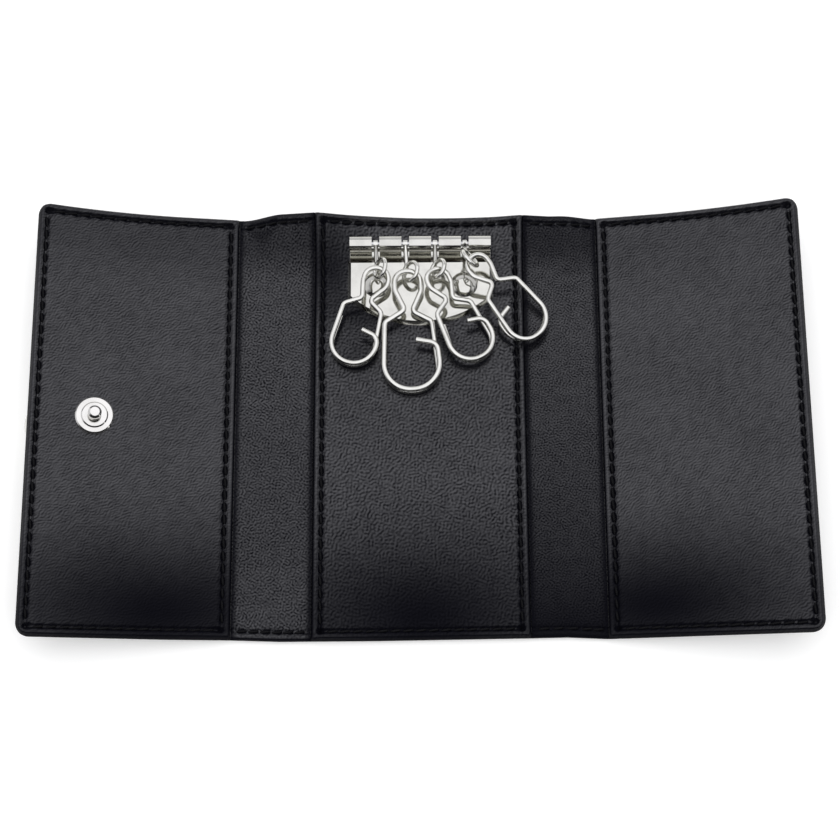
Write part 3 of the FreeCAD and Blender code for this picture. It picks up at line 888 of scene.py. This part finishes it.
def build_spine(side):
    """Soft spine in two halves, split between its two folds."""
    sign, near, far = sides[side], back_crease(side), flap_crease(side)
    split = near + sign * spine_split[side]
    lap, overlap = sign * lining_overlap, sign * fold_overlap
    spans = {
        "inner": {"lining": (near - lap, split), "shell": (near - overlap, split)},
        "outer": {"lining": (split, far + lap), "shell": (split, far + overlap)},
    }
    for half, layers in spans.items():
        for layer, (x0, x1) in layers.items():
            lined = layer == "lining"
            piece = leather_piece(
                "%s_spine_%s_%s" % (side, half, layer),
                leathers[side + "_spine_leather" if lined else "outer_leather"],
                lines_between(x0, x1, 0, 0), rows(rolled_edge_radius if lined else outer_edge_radius),
                spine_height(side) if lined else under_height, (x1 > x0) == lined,
                gloss=spine_gloss(side) if lined else full_gloss, side=side,
                turn_share=lambda x: flap_share(side, x), curled=True)
            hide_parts(side + ("_spine_lining" if lined else "_spine_outer_leather"))
            bend(piece, side, half)


def build_flap(side):
    """Stiff flap: lining and outer leather, riding on the flap."""
    sign, crease, free = sides[side], flap_crease(side), free_edge_of(side)
    x0 = crease + sign * lining_setback
    lining = leather_piece(
        side + "_flap_lining_leather", leathers["lining_leather"],
        lines_between(x0, free, turned_edge_radius, rolled_edge_radius), rows(rolled_edge_radius),
        flap_height(side), free > x0, edges=(x0, free), gloss=flap_gloss(side), side=side, free_edge=free)
    x0 = crease + sign * fold_overlap
    outer = leather_piece(
        side + "_flap_outer_shell", leathers["outer_leather"],
        lines_between(x0, free, 0, outer_edge_radius), rows(outer_edge_radius),
        under_flap(side), free < x0, edges=(free,), side=side, free_edge=free)
    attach(lining, side + "_flap")
    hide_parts(side + "_flap_lining")
    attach(outer, side + "_flap")
    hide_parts(side + "_flap_outer_leather")
    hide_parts(side + "_flap_board")


def capsule():
    """Unit stitch: rings of radius sqrt(1 - t^4) at t from -1 to 1 along X; points, quads and end caps."""
    t = np.sin(np.linspace(-np.pi / 2, np.pi / 2, stitch_rings))
    radius = np.sqrt(np.clip(1.0 - t ** 4, stitch_tip, None))
    angle = np.linspace(0, 2 * np.pi, stitch_corners, endpoint=False)
    points = np.stack([np.repeat(t, stitch_corners), np.outer(radius, np.cos(angle)).ravel(),
                       np.outer(radius, np.sin(angle)).ravel()], -1)
    index = np.arange(len(points)).reshape(stitch_rings, stitch_corners)
    turned = np.roll(index, -1, 1)
    quads = np.stack([index[:-1], turned[:-1], turned[1:], index[1:]], -1).reshape(-1, 4)
    return points, quads, np.stack([index[0, ::-1], index[-1]])


def stitches(name, places, directions, height, place_stitch):
    """Row of stitches: one bowed capsule per place, slanted to the seam and sunk in its groove."""
    unit, quads, caps = capsule()
    turn = np.arctan2(directions[:, 1], directions[:, 0]) + math.radians(stitch_slant_deg)
    count, size = len(places), len(unit)
    local = unit * np.array([stitch_length / 2, stitch_radius, stitch_radius])
    c, s = np.cos(turn)[:, None], np.sin(turn)[:, None]
    points = np.empty((count, size, 3))
    points[..., 0] = places[:, :1] + c * local[:, 0] - s * local[:, 1]
    points[..., 1] = places[:, 1:2] + s * local[:, 0] + c * local[:, 1]
    points[..., 2] = height + (local[:, 2] + stitch_bow * (1.0 - unit[:, 0] ** 2))
    flat = np.empty((count, size, 2))
    flat[..., 0] = local[:, 0] + np.arange(count)[:, None] * stitch_pitch
    flat[..., 1] = np.arctan2(unit[:, 2], unit[:, 1]) * stitch_radius
    shifts = size * np.arange(count)[:, None, None]
    faces = [face for part in (quads, caps) for face in (part + shifts).reshape(-1, part.shape[1]).tolist()]
    return make_piece(name, place_stitch(points.reshape(-1, 3)), faces, thread, flat.reshape(-1, 2))


def run(start, end):
    """Middles and directions of the stitches along a straight seam."""
    start, end = np.array(start, float), np.array(end, float)
    length = np.linalg.norm(end - start)
    count = max(1, int(round(length / stitch_pitch)))
    share = (np.arange(count) + 0.5) / count
    return start + share[:, None] * (end - start), np.tile((end - start) / length, (count, 1))


def runs_along(x0, x1):
    """Runs along the bottom and top edges, from x0 to x1."""
    y = case_half_height - seam_inset
    return [run((x0, edge), (x1, edge)) for edge in (-y, y)]


def runs_round(x0, x1):
    """Runs round a panel whose seams lie at x0 and x1."""
    y = case_half_height - seam_inset
    gap = stitch_pitch / 2
    low, high = min(x0, x1), max(x0, x1)
    return runs_along(low + gap, high - gap) + [run((edge, gap - y), (edge, y - gap)) for edge in (low, high)]


def sew(name, node, runs, height, place_stitch):
    """Seam of thread along runs, in place of a node."""
    places, directions = (np.concatenate(part) for part in zip(*runs))
    piece = stitches(name, places, directions, height, place_stitch)
    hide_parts(node)
    return piece


def curled_stitches(points):
    """Points of stitches, stretched and curled with the leather of the back and the spines."""
    points[:, 1] = reach(points[:, 0], points[:, 1])
    points[:, 2] += curl(points[:, 0], points[:, 1])
    return points


def build_side_seams(side):
    """Seams of a flap and of the two halves of its spine."""
    sign, near, crease = sides[side], back_crease(side), flap_crease(side)
    sink = groove_depth * stitch_sink

    def on_flap(points):
        points[:, 0], points[:, 1] = flare(side, points[:, 0], points[:, 1])
        points[:, 1] = reach(points[:, 0], points[:, 1])
        return turn_about(points, crease, flap_angle(side))

    def on_spine(points):
        return turn_about(curled_stitches(points), crease, flap_angle(side) * flap_share(side, points[:, 0]))

    inner, outer = crease + sign * (lining_setback + seam_inset), free_edge_of(side) - sign * seam_inset
    piece = sew(side + "_flap_seam", side + "_flap_stitching", runs_round(inner, outer),
                panel_top - sink, on_flap)
    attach(piece, side + "_flap")
    split = near + sign * spine_split[side]
    gap = sign * spine_seam_gap
    halves = {"inner": (near + gap, split), "outer": (split, crease - gap)}
    for half, ends in halves.items():
        piece = sew("%s_spine_%s_seam" % (side, half), side + "_spine_stitching", runs_along(*ends),
                    fold_top - sink * spine_seam_share, on_spine)
        bend(piece, side, half)


def build_stitching():
    """Seams of the back, the spines and the flaps."""
    edge = back_half_width - lining_setback - seam_inset
    piece = sew("back_seam", "back_stitching", runs_round(-edge, edge),
                panel_top - groove_depth * stitch_sink, curled_stitches)
    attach(piece, "back")
    for side in sides:
        build_side_seams(side)


def finish_hardware():
    """Give the metal nodes and the hidden boards their finishes."""
    for name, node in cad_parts.items():
        material = fibre_board if name.endswith("board") else None
        for start, metal in hardware_metals.items():
            if name.startswith(start):
                material = metals[metal]
        if material:
            node.data.materials.clear()
            node.data.materials.append(material)


def build_floor():
    """White table: lit diffuse, which keeps the shadow, plus a lift for the rays that show it."""
    corners = np.array([[-1, -1, 0], [1, -1, 0], [1, 1, 0], [-1, 1, 0]]) * table_half_size
    corners[:, 2] = table_top
    material, tree = new_tree("table_white")
    camera_ray = add_node(tree, "ShaderNodeLightPath")
    seen = camera_ray + camera_ray.beside("Is Glossy Ray") + camera_ray.beside("Is Transmission Ray")
    away = add_node(tree, "ShaderNodeVectorMath", {"operation": "LENGTH"}, {0: object_place(tree)}, 1)
    lift = near_floor_lift + away.step(*far_floor) * (1.0 - near_floor_lift)
    diffuse = add_node(tree, "ShaderNodeBsdfDiffuse", None, {"Color": table_white})
    glow = add_node(tree, "ShaderNodeEmission", None, {"Color": seen.clamp() * lift})
    both = add_node(tree, "ShaderNodeAddShader", None, {0: diffuse, 1: glow})
    add_node(tree, "ShaderNodeOutputMaterial", None, {"Surface": both})
    floor = make_piece("table", corners, [[0, 1, 2, 3]], material, corners[:, :2])


def build_softbox():
    """Rectangular lamp overhead, whose power gives its radiance: power = 4 times area times radiance."""
    width, depth = softbox_size
    lamp = bpy.data.lights.new("softbox", "AREA")
    lamp.shape = "RECTANGLE"
    lamp.size, lamp.size_y = width, depth
    lamp.energy = 4.0 * width * depth * softbox_level
    lamp.color = daylight
    light = bpy.data.objects.new("softbox", lamp)
    light.location = softbox_place
    aim = Vector(softbox_target) - Vector(softbox_place)
    light.rotation_euler = aim.to_track_quat("-Z", "Y").to_euler()
    bpy.context.scene.collection.objects.link(light)


def build_studio():
    """World round the table: a white dome, a bright far side and a dark near side."""
    world = bpy.data.worlds.new("studio")
    world.use_nodes = True
    tree = world.node_tree
    tree.nodes.clear()
    way = add_node(tree, "ShaderNodeTexCoord")
    apart = add_node(tree, "ShaderNodeSeparateXYZ", None, {0: way})
    dome = apart.beside("Z").step(*dome_edges)
    side_level = near_side_level + apart.beside("Y").step(*far_side_edges) * far_side_gain
    lit = side_level + (dome_level - side_level) * dome
    back = add_node(tree, "ShaderNodeBackground", None, {"Color": lit.mix((0, 0, 0), daylight)})
    add_node(tree, "ShaderNodeOutputWorld", None, {"Surface": back})
    bpy.context.scene.world = world


def build_camera():
    """Camera of the photograph: tilted towards the lower edge of the case, with a slight roll."""
    tilt, roll = math.radians(camera_tilt_deg), math.radians(camera_roll_deg)
    ahead = Vector((0, math.sin(tilt), -math.cos(tilt)))
    level, above = Vector((1, 0, 0)), Vector((0, math.cos(tilt), math.sin(tilt)))
    up = above * math.cos(roll) + level * math.sin(roll)
    right = level * math.cos(roll) - above * math.sin(roll)
    data = bpy.data.cameras.new("photo_camera")
    data.lens, data.sensor_width = camera_lens, camera_sensor
    data.clip_start, data.clip_end = camera_clip
    camera = bpy.data.objects.new("photo_camera", data)
    axes = Matrix((right, up, -ahead)).transposed().to_4x4()
    camera.matrix_world = Matrix.Translation(Vector(camera_eye) * MM) @ axes
    bpy.context.scene.collection.objects.link(camera)
    bpy.context.scene.camera = camera


build_camera()
build_back()
for side_name in sides:
    build_spine(side_name)
    build_flap(side_name)
build_stitching()
finish_hardware()
build_floor()
build_softbox()
build_studio()
bpy.context.scene.view_settings.view_transform = "Standard"
